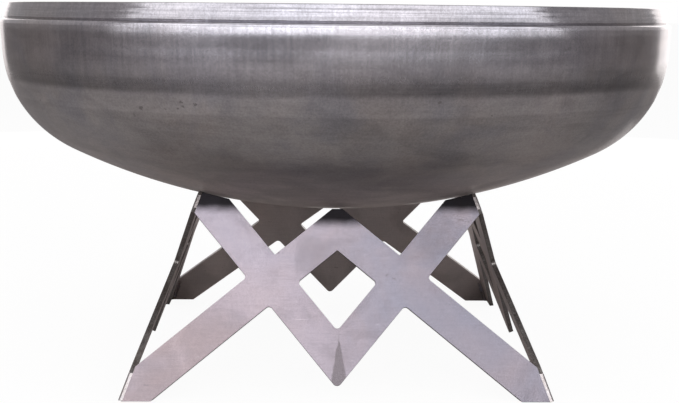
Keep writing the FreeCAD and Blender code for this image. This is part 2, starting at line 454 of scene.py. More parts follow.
def start_material(name: str) -> tuple[bpy.types.Material, Shade, bpy.types.Node]:
    """Make an empty metal material.

    Args:
        name: the material's name.

    Returns:
        The material, its Shade and its Principled BSDF node.
    """
    material = bpy.data.materials.new(name)
    material.use_nodes = True
    material.node_tree.nodes.clear()
    shade = Shade(material.node_tree)
    metal = shade.node("ShaderNodeBsdfPrincipled")
    output = shade.node("ShaderNodeOutputMaterial")
    shade.feed(output.inputs["Surface"], metal.outputs[0])
    metal.inputs["Metallic"].default_value = 1.0
    return material, shade, metal


@dataclass(frozen=True)
class DishFinish:
    """Pressed dish steel: drawn flange, turned rim band, rolled forming band, mottled crown.

    Heights are over the dish's lowest point, in metres.
    """

    bottom: float
    groove: float
    tangent: float
    radius: float
    band_low: float = 0.1585
    band_high: float = 0.1790
    colour: Colour = (0.455, 0.438, 0.438, 1.0)
    warm: Colour = (0.452, 0.400, 0.380, 1.0)
    cool: Colour = (0.395, 0.403, 0.450, 1.0)
    drawn: Colour = (0.420, 0.410, 0.462, 1.0)
    stain: Colour = (0.150, 0.140, 0.140, 1.0)

    def build(self, effects: Effects) -> bpy.types.Material:
        """Make the material.

        Args:
            effects: the shared node groups.

        Returns:
            The dish's material.
        """
        material, shade, metal = start_material("dish_steel_finish")
        place = shade.object_place()
        x, y, z = shade.split(place)
        height = shade.less(z, self.bottom)
        rx = shade.maths("DIVIDE", x, self.radius)
        ry = shade.maths("DIVIDE", y, self.radius)
        drawn_place = shade.join(rx, ry, shade.times(z, 0.5))
        streaks = shade.group(effects.drawn, Vector=drawn_place, Stretch=(75.0, 75.0, 9.0))["Lines"]
        fine = shade.group(effects.drawn, Vector=drawn_place, Stretch=(190.0, 190.0, 26.0))["Lines"]
        turned = shade.group(effects.drawn, Vector=shade.join(rx, ry, z), Stretch=(2.2, 2.2, 420.0))["Lines"]
        mottle = shade.group(effects.mottle, Vector=place, Scale=7.0)
        broad = shade.group(effects.mottle, Vector=place, Scale=2.2)

        on_band = shade.remap(height, self.groove - 0.001, self.groove + 0.001)
        on_flange = shade.remap(height, self.tangent - 0.085, self.tangent + 0.005)
        on_crown = shade.remap(height, 0.02, 0.145, 1.0, 0.0)

        colour = shade.blend(shade.times(mottle["Warm"], 0.45), self.colour, self.warm)
        colour = shade.blend(shade.times(mottle["Cool"], 0.60), colour, self.cool)
        blued = shade.times(on_flange, shade.remap(ry, -0.98, -0.55, 0.75, 0.10))
        colour = shade.blend(blued, colour, self.drawn)
        colour = shade.blend(shade.times(on_crown, 0.85), colour, self.warm)
        grain = shade.swing(mottle["Grain"], 0.85, 1.13)
        grain = shade.times(grain, shade.swing(mottle["Cool"], 1.05, 0.94))
        streaked = shade.remap(shade.times(streaks, shade.remap(on_flange, 0.0, 1.0, 0.35, 1.0)),
                               0.0, 1.0, 0.87, 1.10, smooth=False)
        smear = shade.noise(shade.join(shade.times(rx, 5.0), shade.times(ry, 5.0),
                                       shade.times(z, 34.0)), 1.0, 4.0, 0.62, 0.8)
        cloud = shade.times(shade.remap(broad["Warm"], 0.0, 1.0, 1.05, 0.86),
                            shade.remap(smear, 0.32, 0.66, 0.86, 1.08))
        cloud = shade.times(cloud, shade.swing(turned, 0.95, 1.05))
        level = shade.times(shade.times(grain, streaked), cloud)

        # Rolled band with a crisp lower edge, and a darker belt over it, patchy and darker toward the left and
        # right.
        wander = shade.times(shade.less(shade.noise(place, 9.0, 2.0), 0.5), 0.004)
        edge_height = shade.plus(height, wander)
        low_edge = shade.remap(edge_height, self.band_low - 0.0012, self.band_low + 0.0012)
        high_edge = shade.remap(edge_height, self.band_high - 0.003, self.band_high + 0.004, 1.0, 0.0)
        rolled = shade.times(low_edge, high_edge)
        above = shade.remap(edge_height, self.band_high - 0.002, self.band_high + 0.006)
        fade = shade.remap(edge_height, self.band_high + 0.006, self.band_high + 0.038, 1.0, 0.0)
        patchy = shade.remap(shade.noise(shade.join(rx, ry, 0.35), 1.6, 3.0, 0.6), 0.30, 0.58, 0.25, 1.0)
        patchy = shade.larger(patchy, shade.remap(shade.maths("ABSOLUTE", rx), 0.35, 0.75, 0.0, 1.0))
        streaky = shade.remap(turned, 0.0, 1.0, 0.7, 1.0)
        dark_belt = shade.times(shade.times(above, fade),
                            shade.times(patchy, streaky))
        level = shade.times(level, shade.swing(rolled, 1.0, 1.13))
        # Lighter toward the dish's bottom, a little darker higher up to the band.
        lighter_low = shade.remap(height, 0.02, 0.13, 1.22, 0.87)
        # Painted shade: the dish darker toward its right side and a little toward its left, below the flange.
        painted_side_shade = shade.times(shade.remap(rx, 0.40, 0.75, 1.0, 0.70), shade.remap(rx, -0.90, -0.60, 0.82, 1.0))
        painted_side_shade = shade.larger(painted_side_shade, shade.remap(height, 0.185, 0.215, 0.0, 1.0))
        level = shade.times(level, painted_side_shade)
        level = shade.times(level, shade.larger(lighter_low, shade.remap(height, 0.175, 0.20, 0.0, 1.0)))
        level = shade.times(level, shade.swing(dark_belt, 1.0, 0.46))
        colour = shade.darken(colour, level)

        specks = shade.group(effects.specks, Vector=place, Scale=95.0, Amount=1.0)["Mask"]
        belt = shade.times(shade.remap(height, 0.150, 0.160), shade.remap(height, 0.172, 0.182, 1.0, 0.0))
        specks = shade.times(specks, shade.remap(belt, 0.0, 1.0, 0.30, 1.0))
        colour = shade.blend(shade.times(specks, 0.60), colour, self.stain)
        scratches = shade.group(effects.scratches, Vector=place, Scale=14.0, Amount=0.5)["Mask"]
        colour = shade.blend(shade.times(scratches, 0.28), colour, (0.62, 0.60, 0.60, 1.0))
        lines = shade.times(on_band, shade.remap(turned, 0.0, 1.0, 0.12, 0.38))
        colour = shade.darken(colour, shade.less(1.0, lines))
        shade.feed(metal.inputs["Base Color"], colour)

        rough = shade.remap(on_flange, 0.0, 1.0, 0.36, 0.18)
        rough = shade.plus(rough, shade.swing(fine, -0.02, 0.025))
        rough = shade.plus(rough, shade.remap(on_crown, 0.0, 1.0, 0.0, 0.18))
        rough = shade.plus(rough, shade.times(mottle["Warm"], 0.05))
        rough = shade.less(rough, shade.times(on_band, 0.03), clamp=True)
        shade.feed(metal.inputs["Roughness"], rough)
        shade.feed(metal.inputs["Coat Weight"], shade.remap(on_flange, 0.0, 1.0, 0.10, 0.35))
        metal.inputs["Coat Roughness"].default_value = 0.10

        swell = shade.noise(place, 16.0, 2.0)
        relief = shade.plus(shade.times(swell, 0.55), shade.times(streaks, 0.014))
        relief = shade.plus(relief, shade.times(shade.times(turned, on_band), 0.10))
        relief = shade.less(relief, shade.times(specks, 0.25))
        shade.relief(metal, relief, 0.35, 0.0006)
        return material


@dataclass(frozen=True)
class PlateFinish:
    """Cleaned laser-cut plate: lavender grey, faint rolling lines, handling marks and a water stain."""

    name: str
    stain_foot: float
    colour: Colour = (0.250, 0.221, 0.252, 1.0)
    pink: Colour = (0.252, 0.207, 0.217, 1.0)
    blue: Colour = (0.207, 0.207, 0.256, 1.0)
    dull: Colour = (0.120, 0.106, 0.116, 1.0)
    gloss: Point2 = (0.20, 0.14)
    warp: Point2 = (0.030, 0.150)
    shaded_top: float = 0.95

    def build(self, effects: Effects) -> bpy.types.Material:
        """Make the material.

        Args:
            effects: the shared node groups.

        Returns:
            The plates' material.
        """
        material, shade, metal = start_material(self.name)
        place = shade.node("ShaderNodeUVMap", uv_map="plate").outputs[0]
        u, v, _ = shade.split(place)
        mottle = shade.group(effects.mottle, Vector=place, Scale=11.0)
        broad = shade.group(effects.mottle, Vector=place, Scale=3.5)
        rolled = shade.group(effects.drawn, Vector=place, Stretch=(26.0, 420.0, 1.0))["Lines"]
        sanded = shade.group(effects.drawn, Vector=place, Stretch=(620.0, 90.0, 1.0))["Lines"]
        # Heat drew the sheet's tint out unevenly, pinker one way and bluer the other; the lightness falling off
        # toward the bluer side is painted shade.
        tint_and_shade_side = shade.remap(u, -0.12, 0.14)
        colour = shade.blend(shade.times(broad["Warm"], shade.remap(tint_and_shade_side, 0.0, 1.0, 0.95, 0.55)),
                             self.colour, self.pink)
        colour = shade.blend(shade.times(broad["Cool"], shade.remap(tint_and_shade_side, 0.0, 1.0, 0.25, 0.85)),
                             colour, self.blue)
        cloud = shade.remap(mottle["Warm"], 0.0, 1.0, 1.06, 0.86)
        grain = shade.swing(mottle["Grain"], 0.91, 1.08)
        lines = shade.remap(shade.plus(rolled, sanded), 0.3, 1.7, 0.92, 1.07, smooth=False)
        level = shade.times(shade.times(cloud, grain), lines)
        # Painted shade: each plate darker toward its bluer side, as if lit from the other side.
        level = shade.times(level, shade.swing(tint_and_shade_side, 1.02, 0.74))
        colour = shade.darken(colour, level)

        # Water stain drawn up from the vee tip to a point, only on the plate whose map is not shifted.
        wave = shade.times(shade.less(shade.noise(place, 60.0, 3.0), 0.5), 0.005)
        rise = shade.maths("DIVIDE", shade.less(v, self.stain_foot), 0.062)
        half = shade.maths("POWER", shade.less(1.0, rise, clamp=True), 0.8)
        half = shade.times(half, 0.0115)
        off = shade.maths("ABSOLUTE", shade.plus(shade.less(u, 0.002), wave))
        stain = shade.remap(shade.less(half, off), -0.0008, 0.0016)
        colour = shade.blend(shade.times(stain, 0.85), colour, self.dull)

        scratches = shade.group(effects.scratches, Vector=place, Scale=16.0, Amount=0.75)["Mask"]
        colour = shade.blend(shade.times(scratches, 0.55), colour, (0.50, 0.48, 0.51, 1.0))
        specks = shade.group(effects.specks, Vector=place, Scale=110.0, Amount=0.8)["Mask"]
        colour = shade.blend(shade.times(specks, 0.55), colour, self.dull)
        # Painted shade: the tops darkened where the dish above shadows them and mirrors dark in them.
        painted_top_shade_edge = shade.remap(shade.maths("ABSOLUTE", u), 0.025, 0.060, 0.2285, 0.2465)
        painted_top_shade = shade.less(shade.plus(v, wave), painted_top_shade_edge)
        painted_top_shade = shade.remap(painted_top_shade, -0.010, 0.006, 1.0, 1.0 - self.shaded_top)
        colour = shade.darken(colour, painted_top_shade)
        shade.feed(metal.inputs["Base Color"], colour)

        rough = shade.remap(broad["Cool"], 0.0, 1.0, *self.gloss)
        rough = shade.plus(rough, shade.swing(mottle["Grain"], -0.03, 0.05))
        rough = shade.plus(rough, shade.times(stain, 0.08))
        rough = shade.plus(rough, shade.remap(lines, 0.92, 1.07, 0.03, -0.03, smooth=False), clamp=True)
        shade.feed(metal.inputs["Roughness"], rough)
        relief = shade.plus(shade.times(mottle["Grain"], 0.30), shade.times(lines, 0.6))
        relief = shade.less(relief, shade.times(scratches, 0.5))
        relief = shade.plus(relief, shade.times(shade.noise(place, 24.0, 2.0), 0.5))
        # Sheet left a little hollow by the rolls: its upper half leans down a little more than its foot.
        facing = shade.node("ShaderNodeNewGeometry").outputs["Normal"]
        drop = shade.times(shade.remap(v, 0.03, 0.24, *self.warp), -1.0)
        hollow = shade.vector("NORMALIZE", shade.vector("ADD", facing, shade.join(0.0, 0.0, drop)))
        shade.relief(metal, relief, 0.30, 0.0004, hollow)
        return material


@dataclass(frozen=True)
class CutEdgeFinish:
    """Laser-cut edge: dark thin oxide with fine drag lines through the thickness."""

    colour: Colour = (0.215, 0.205, 0.200, 1.0)
    bright: Colour = (0.520, 0.505, 0.500, 1.0)
    brown: Colour = (0.165, 0.145, 0.135, 1.0)

    def build(self, effects: Effects) -> bpy.types.Material:
        """Make the material.

        Args:
            effects: the shared node groups.

        Returns:
            The cut edges' material.
        """
        material, shade, metal = start_material("cut_edge_finish")
        place = shade.node("ShaderNodeUVMap", uv_map="plate").outputs[0]
        drag = shade.group(effects.drawn, Vector=place, Stretch=(1500.0, 120.0, 1.0))["Lines"]
        mottle = shade.group(effects.mottle, Vector=place, Scale=26.0)
        colour = shade.blend(shade.times(mottle["Warm"], 0.8), self.colour, self.brown)
        colour = shade.blend(shade.times(shade.remap(drag, 0.5, 1.0), 0.65), colour, self.bright)
        shade.feed(metal.inputs["Base Color"], colour)
        shade.feed(metal.inputs["Roughness"], shade.remap(mottle["Cool"], 0.0, 1.0, 0.30, 0.46))
        shade.relief(metal, drag, 0.6, 0.0002)
        return material


class WeldState(Enum):
    """How a weld is left."""

    GROUND = "ground"
    AS_WELDED = "as_welded"


@dataclass(frozen=True)
class WeldFinish:
    """Weld metal, ground bright with disc marks or left with its heat colours."""

    state: WeldState

    def build(self, effects: Effects) -> bpy.types.Material:
        """Make the material.

        Args:
            effects: the shared node groups.

        Returns:
            The weld material.
        """
        material, shade, metal = start_material("weld_%s_finish" % self.state.value)
        place = shade.object_place()
        mottle = shade.group(effects.mottle, Vector=place, Scale=45.0)
        if self.state is WeldState.GROUND:
            mapping = shade.node("ShaderNodeMapping")
            shade.feed(mapping.inputs["Vector"], place)
            mapping.inputs["Rotation"].default_value = (0.5, 0.35, 0.2)
            lines = shade.group(effects.drawn, Vector=mapping.outputs[0],
                                Stretch=(160.0, 160.0, 1400.0))["Lines"]
            colour = shade.blend(lines, (0.30, 0.28, 0.29, 1.0), (0.56, 0.54, 0.55, 1.0))
            colour = shade.blend(shade.times(mottle["Warm"], 0.5), colour, (0.30, 0.25, 0.23, 1.0))
            rough = shade.remap(lines, 0.0, 1.0, 0.36, 0.22)
            height, depth = lines, 0.00015
        else:
            colour = shade.blend(mottle["Warm"], (0.30, 0.27, 0.26, 1.0), (0.20, 0.13, 0.09, 1.0))
            colour = shade.blend(shade.times(mottle["Cool"], 0.6), colour, (0.18, 0.20, 0.30, 1.0))
            rough = shade.remap(mottle["Grain"], 0.0, 1.0, 0.28, 0.50)
            height, depth = mottle["Grain"], 0.0002
        shade.feed(metal.inputs["Base Color"], colour)
        shade.feed(metal.inputs["Roughness"], rough)
        shade.relief(metal, height, 0.5, depth)
        return material


@dataclass(frozen=True)
class ScaleFinish:
    """Hot-rolled bar with its blue-grey mill scale, rubbed brighter in places and faintly rusted."""

    scale: Colour = (0.130, 0.135, 0.150, 1.0)
    rubbed: Colour = (0.330, 0.320, 0.325, 1.0)
    rust: Colour = (0.190, 0.085, 0.040, 1.0)

    def build(self, effects: Effects) -> bpy.types.Material:
        """Make the material.

        Args:
            effects: the shared node groups.

        Returns:
            The grate's material.
        """
        material, shade, metal = start_material("grate_scale_finish")
        place = shade.object_place()
        mottle = shade.group(effects.mottle, Vector=place, Scale=18.0)
        flake = shade.group(effects.mottle, Vector=place, Scale=55.0)
        specks = shade.group(effects.specks, Vector=place, Scale=70.0, Amount=1.0)["Mask"]
        scratches = shade.group(effects.scratches, Vector=place, Scale=18.0, Amount=0.8)["Mask"]
        worn = shade.times(mottle["Warm"], flake["Cool"])
        colour = shade.blend(shade.times(worn, 0.8), self.scale, self.rubbed)
        colour = shade.blend(shade.times(scratches, 0.5), colour, (0.48, 0.47, 0.47, 1.0))
        rusty = shade.times(shade.remap(flake["Warm"], 0.75, 1.0), shade.remap(mottle["Cool"], 0.5, 1.0))
        rusty = shade.larger(rusty, specks)
        colour = shade.blend(shade.times(rusty, 0.7), colour, self.rust)
        shade.feed(metal.inputs["Base Color"], colour)
        shade.feed(metal.inputs["Metallic"], shade.remap(rusty, 0.0, 1.0, 1.0, 0.25))
        rough = shade.remap(worn, 0.0, 1.0, 0.46, 0.30)
        shade.feed(metal.inputs["Roughness"], shade.plus(rough, shade.times(rusty, 0.35)))
        relief = shade.plus(flake["Grain"], shade.times(flake["Warm"], 1.5))
        shade.relief(metal, relief, 0.5, 0.0003)
        return material


# ---------------------------------------------------------------- mesh tools

# Degrees between faces: under the first they are one flat face, over the second their edge is rounded,
# and over the third a rounding's own edges stay crisp.
FLAT_ANGLE = 0.5
SHARP_ANGLE = 35.0
ROUNDED_ANGLE = 18.0


def new_piece(name: str, mesh: bpy.types.Mesh) -> bpy.types.Object:
    """Link a new object at the origin.

    Args:
        name: the object's name.
        mesh: its mesh.

    Returns:
        The object.
    """
    piece = bpy.data.objects.new(name, mesh)
    bpy.context.scene.collection.objects.link(piece)
    return piece


def shade_by_angle(bm: bmesh.types.BMesh, degrees: float) -> None:
    """Shade smooth, with sharp edges kept crisp.

    Args:
        bm: the mesh being worked on.
        degrees: the angle from which an edge counts as sharp.
    """
    for face in bm.faces:
        face.smooth = True
    for edge in bm.edges:
        edge.smooth = len(edge.link_faces) == 2 and edge.calc_face_angle(0.0) < math.radians(degrees)


def softened_copy(solid: bpy.types.Object, name: str, width: float, segments: int = 2) -> bpy.types.Object:
    """Copy a frame node's solid with its edges rounded.

    Args:
        solid: the frame node's object.
        name: the new piece's name.
        width: how far the rounding reaches from each edge, in metres.
        segments: steps in each rounding.

    Returns:
        The new piece.
    """
    bm = bmesh.new()
    bm.from_mesh(solid.data)
    bmesh.ops.remove_doubles(bm, verts=bm.verts, dist=1e-5)
    bmesh.ops.dissolve_limit(bm, angle_limit=math.radians(FLAT_ANGLE), verts=bm.verts, edges=bm.edges)
    sharp = [edge for edge in bm.edges if edge.calc_face_angle(0.0) > math.radians(SHARP_ANGLE)]
    bmesh.ops.bevel(bm, geom=sharp, offset=width, segments=segments, profile=0.5, affect="EDGES",
                    clamp_overlap=True)
    bmesh.ops.recalc_face_normals(bm, faces=bm.faces)
    shade_by_angle(bm, ROUNDED_ANGLE)
    mesh = bpy.data.meshes.new(name)
    bm.to_mesh(mesh)
    bm.free()
    return new_piece(name, mesh)


def smooth_all(piece: bpy.types.Object) -> None:
    """Shade a piece smooth all over."""
    for polygon in piece.data.polygons:
        polygon.use_smooth = True


def settle(piece: bpy.types.Object, body: Body, slot: Slot, *nodes: str) -> None:
    """Ride a finished piece on its body and stand it for frame nodes.

    Args:
        piece: the finished piece.
        body: the body it moves with.
        slot: not used.
        nodes: frame nodes it stands for.
    """
    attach(piece, body.value)
    if nodes:
        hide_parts(*nodes)
    LOG.info("%s: %d faces on %s", piece.name, len(piece.data.polygons), body.value)


class Grower:
    """A Geometry Nodes tree under construction, with named inputs."""

    def __init__(self, name: str, inputs: dict[str, str]) -> None:
        """Start a tree.

        Args:
            name: the tree's name.
            inputs: socket type by input name, besides the geometry.
        """
        self.tree = bpy.data.node_groups.new(name, "GeometryNodeTree")
        self.tree.is_modifier = True
        self.tree.interface.new_socket(name="Geometry", in_out="INPUT", socket_type="NodeSocketGeometry")
        self.ids: dict[str, str] = {}
        for label, kind in inputs.items():
            socket = self.tree.interface.new_socket(name=label, in_out="INPUT", socket_type="NodeSocket" + kind)
            self.ids[label] = socket.identifier
        self.tree.interface.new_socket(name="Geometry", in_out="OUTPUT", socket_type="NodeSocketGeometry")
        self.given = self.tree.nodes.new("NodeGroupInput")
        self.out = self.tree.nodes.new("NodeGroupOutput")

    def node(self, kind: str, links: dict[object, object] | None = None, **settings: object) -> bpy.types.Node:
        """Add a node.

        Args:
            kind: Blender's node type name.
            links: value or socket by input name or number.
            settings: properties to set on the node.

        Returns:
            The new node.
        """
        made = self.tree.nodes.new(kind)
        for name, value in settings.items():
            setattr(made, name, value)
        for key, value in (links or {}).items():
            if isinstance(value, bpy.types.NodeSocket):
                self.tree.links.new(value, made.inputs[key])
            else:
                made.inputs[key].default_value = value
        return made

    def end(self, geometry: bpy.types.NodeSocket) -> None:
        """Finish with real geometry in the given material.

        Args:
            geometry: the last geometry of the tree.
        """
        real = self.node("GeometryNodeRealizeInstances", {"Geometry": geometry})
        dressed = self.node("GeometryNodeSetMaterial", {"Geometry": real.outputs[0],
                                                        "Material": self.given.outputs["Material"]})
        self.tree.links.new(dressed.outputs[0], self.out.inputs[0])

    def grow(self, name: str, seed_mesh: bpy.types.Mesh, **values: object) -> bpy.types.Object:
        """Run the tree on a mesh and keep the result as a plain mesh.

        Args:
            name: the new piece's name.
            seed_mesh: the geometry the tree starts from.
            values: input values by name, with spaces as underscores.

        Returns:
            The new piece, without a modifier.
        """
        piece = new_piece(name, seed_mesh)
        modifier = piece.modifiers.new(name, "NODES")
        modifier.node_group = self.tree
        for label, value in values.items():
            modifier[self.ids[label.replace("_", " ")]] = value
        evaluated = piece.evaluated_get(bpy.context.evaluated_depsgraph_get())
        mesh = bpy.data.meshes.new_from_object(evaluated)
        mesh.name = name
        piece.modifiers.remove(modifier)
        piece.data = mesh
        return piece


def lathe_tree() -> Grower:
    """Tree that turns a closed profile round the upright axis, with slight forming ripples.

    Returns:
        The tree. Its profile mesh holds (distance from the rail, height) as X and Y.
    """
    grower = Grower("turned_shell", {"Segments": "Int", "Rail": "Float", "Ripple": "Float",
                                     "Ripple Scale": "Float", "Material": "Material"})
    given = grower.given.outputs
    profile = grower.node("GeometryNodeMeshToCurve", {"Mesh": given["Geometry"]})
    rail = grower.node("GeometryNodeCurvePrimitiveCircle", {"Resolution": given["Segments"],
                                                            "Radius": given["Rail"]})
    shell = grower.node("GeometryNodeCurveToMesh", {"Curve": rail.outputs[0],
                                                    "Profile Curve": profile.outputs[0]})
    place = grower.node("GeometryNodeInputPosition")
    noise = grower.node("ShaderNodeTexNoise", {"Vector": place.outputs[0], "Scale": given["Ripple Scale"],
                                               "Detail": 1.0})
    amount = grower.node("ShaderNodeMath", {0: noise.outputs[0], 1: given["Ripple"]}, operation="MULTIPLY")
    flat = grower.node("ShaderNodeVectorMath", {0: place.outputs[0], 1: (1.0, 1.0, 0.0)}, operation="MULTIPLY")
    reach = grower.node("ShaderNodeVectorMath", {0: flat.outputs[0]}, operation="LENGTH")
    share = grower.node("ShaderNodeMath", {0: reach.outputs["Value"], 1: given["Rail"]}, operation="DIVIDE")
    square = grower.node("ShaderNodeMath", {0: share.outputs[0], 1: share.outputs[0]}, operation="MULTIPLY")
    lift = grower.node("ShaderNodeMath", {0: 1.0, 1: square.outputs[0]}, operation="SUBTRACT", use_clamp=True)
    inward = grower.node("ShaderNodeVectorMath", {0: flat.outputs[0]}, operation="NORMALIZE")
    inward = grower.node("ShaderNodeVectorMath", {0: inward.outputs[0], "Scale": -1.0}, operation="SCALE")
    upward = grower.node("ShaderNodeCombineXYZ", {"Z": lift.outputs[0]})
    way = grower.node("ShaderNodeVectorMath", {0: inward.outputs[0], 1: upward.outputs[0]}, operation="ADD")
    offset = grower.node("ShaderNodeVectorMath", {0: way.outputs[0]}, operation="SCALE")
    grower.tree.links.new(amount.outputs[0], offset.inputs["Scale"])
    moved = grower.node("GeometryNodeSetPosition", {"Geometry": shell.outputs[0], "Offset": offset.outputs[0]})
    grower.end(moved.outputs[0])
    return grower


def bars_tree() -> Grower:
    """Tree that lays parallel square bars with rounded edges and trims them to a round core.

    Returns:
        The tree.
    """
    grower = Grower("trimmed_bars", {"Count": "Int", "Pitch": "Float", "Section": "Float", "Edge": "Float",
                                     "Length": "Float", "Core": "Float", "Height": "Float", "Turn": "Float",
                                     "Material": "Material"})
    given = grower.given.outputs
    step = grower.node("ShaderNodeCombineXYZ", {"X": given["Pitch"]})
    gaps = grower.node("ShaderNodeMath", {0: given["Count"], 1: 1.0}, operation="SUBTRACT")
    span = grower.node("ShaderNodeMath", {0: gaps.outputs[0], 1: given["Pitch"]}, operation="MULTIPLY")
    half = grower.node("ShaderNodeMath", {0: span.outputs[0], 1: -0.5}, operation="MULTIPLY")
    start = grower.node("ShaderNodeCombineXYZ", {"X": half.outputs[0]})
    points = grower.node("GeometryNodeMeshLine", {"Count": given["Count"], "Start Location": start.outputs[0],
                                                  "Offset": step.outputs[0]})
    run = grower.node("ShaderNodeMath", {0: given["Length"], 1: 0.5}, operation="MULTIPLY")
    back = grower.node("ShaderNodeMath", {0: given["Length"], 1: -0.5}, operation="MULTIPLY")
    first = grower.node("ShaderNodeCombineXYZ", {"Y": back.outputs[0]})
    last = grower.node("ShaderNodeCombineXYZ", {"Y": run.outputs[0]})
    line = grower.node("GeometryNodeCurvePrimitiveLine", {"Start": first.outputs[0], "End": last.outputs[0]})
    square = grower.node("GeometryNodeCurvePrimitiveQuadrilateral", {"Width": given["Section"],
                                                                     "Height": given["Section"]})
    eased = grower.node("GeometryNodeFilletCurve", {"Curve": square.outputs[0], "Radius": given["Edge"]})
    fillet_steps(eased, 3)
    bar = grower.node("GeometryNodeCurveToMesh", {"Curve": line.outputs[0], "Profile Curve": eased.outputs[0],
                                                  "Fill Caps": True})
    row = grower.node("GeometryNodeInstanceOnPoints", {"Points": points.outputs[0], "Instance": bar.outputs[0]})
    real = grower.node("GeometryNodeRealizeInstances", {"Geometry": row.outputs[0]})
    core = grower.node("GeometryNodeMeshCylinder", {"Vertices": 256, "Radius": given["Core"], "Depth": 0.2})
    trimmed = grower.node("GeometryNodeMeshBoolean", operation="INTERSECT")
    grower.tree.links.new(real.outputs[0], trimmed.inputs["Mesh 2"])
    grower.tree.links.new(core.outputs[0], trimmed.inputs["Mesh 2"])
    lift = grower.node("ShaderNodeCombineXYZ", {"Z": given["Height"]})
    turn = grower.node("ShaderNodeCombineXYZ", {"Z": given["Turn"]})
    placed = grower.node("GeometryNodeTransform", {"Geometry": trimmed.outputs[0],
                                                   "Translation": lift.outputs[0], "Rotation": turn.outputs[0]})
    grower.end(placed.outputs[0])
    return grower


def fillet_steps(node: bpy.types.Node, count: int) -> None:
    """Set a Fillet Curve node to straight-edged rounding.

    Args:
        node: the Fillet Curve node.
        count: points added at each corner.
    """
    node.mode = "POLY"
    node.inputs["Count"].default_value = count


def bead_tree() -> Grower:
    """Tree that lays overlapping weld ripples along each edge of a mesh.

    Returns:
        The tree.
    """
    grower = Grower("weld_ripples", {"Pitch": "Float", "Width": "Float", "Seed": "Int", "Material": "Material"})
    given = grower.given.outputs
    path = grower.node("GeometryNodeMeshToCurve", {"Mesh": given["Geometry"]})
    steps = grower.node("GeometryNodeResampleCurve", {"Curve": path.outputs[0], "Length": given["Pitch"]},
                        mode="LENGTH")
    tangent = grower.node("GeometryNodeInputTangent")
    turn = grower.node("FunctionNodeAlignRotationToVector", {"Vector": tangent.outputs[0]}, axis="Z")
    ripple = grower.node("GeometryNodeMeshUVSphere", {"Segments": 10, "Rings": 6, "Radius": given["Width"]})
    flat = grower.node("GeometryNodeTransform", {"Geometry": ripple.outputs[0], "Scale": (1.0, 1.0, 0.62)})
    scale = grower.node("FunctionNodeRandomValue", {"Seed": given["Seed"]}, data_type="FLOAT")
    scale.inputs[2].default_value = 0.90
    scale.inputs[3].default_value = 1.08
    row = grower.node("GeometryNodeInstanceOnPoints", {"Points": steps.outputs[0], "Instance": flat.outputs[0],
                                                       "Rotation": turn.outputs[0]})
    grower.tree.links.new(scale.outputs[1], row.inputs["Scale"])
    grower.end(row.outputs[0])
    return grower


def edges_mesh(name: str, edges: list[tuple[Vector, Vector]]) -> bpy.types.Mesh:
    """Make a mesh of separate edges.

    Args:
        name: the mesh's name.
        edges: both ends of each edge.

    Returns:
        The mesh.
    """
    mesh = bpy.data.meshes.new(name)
    points = [point for edge in edges for point in edge]
    mesh.from_pydata(points, [(2 * index, 2 * index + 1) for index in range(len(edges))], [])
    return mesh


def loop_mesh(name: str, points: list[Point2], rail: float) -> bpy.types.Mesh:
    """Make a closed profile loop for the lathe tree.

    Args:
        name: the mesh's name.
        points: (distance from the axis, height) round the loop.
        rail: the lathe's rail radius.

    Returns:
        The loop, with distances measured from the rail.
    """
    mesh = bpy.data.meshes.new(name)
    count = len(points)
    mesh.from_pydata([(reach - rail, -height, 0.0) for reach, height in points],
                     [(index, (index + 1) % count) for index in range(count)], [])
    return mesh


def close_and_shade(piece: bpy.types.Object, degrees: float) -> None:
    """Merge a grown mesh's doubles, turn its faces outward and shade it by angle.

    Args:
        piece: the grown piece.
        degrees: the angle from which an edge stays crisp.
    """
    bm = bmesh.new()
    bm.from_mesh(piece.data)
    bmesh.ops.remove_doubles(bm, verts=bm.verts, dist=1e-6)
    bmesh.ops.recalc_face_normals(bm, faces=bm.faces)
    shade_by_angle(bm, degrees)
    bm.to_mesh(piece.data)
    bm.free()


def eased(start: float, end: float, value: float) -> float:
    """Ease a value's way between two others.

    Args:
        start: where the result is 0.
        end: where the result is 1.
        value: the value.

    Returns:
        The smooth step, 0 to 1.
    """
    share = min(max((value - start) / (end - start), 0.0), 1.0)
    return share * share * (3.0 - 2.0 * share)


# ---------------------------------------------------------------- sub-assemblies


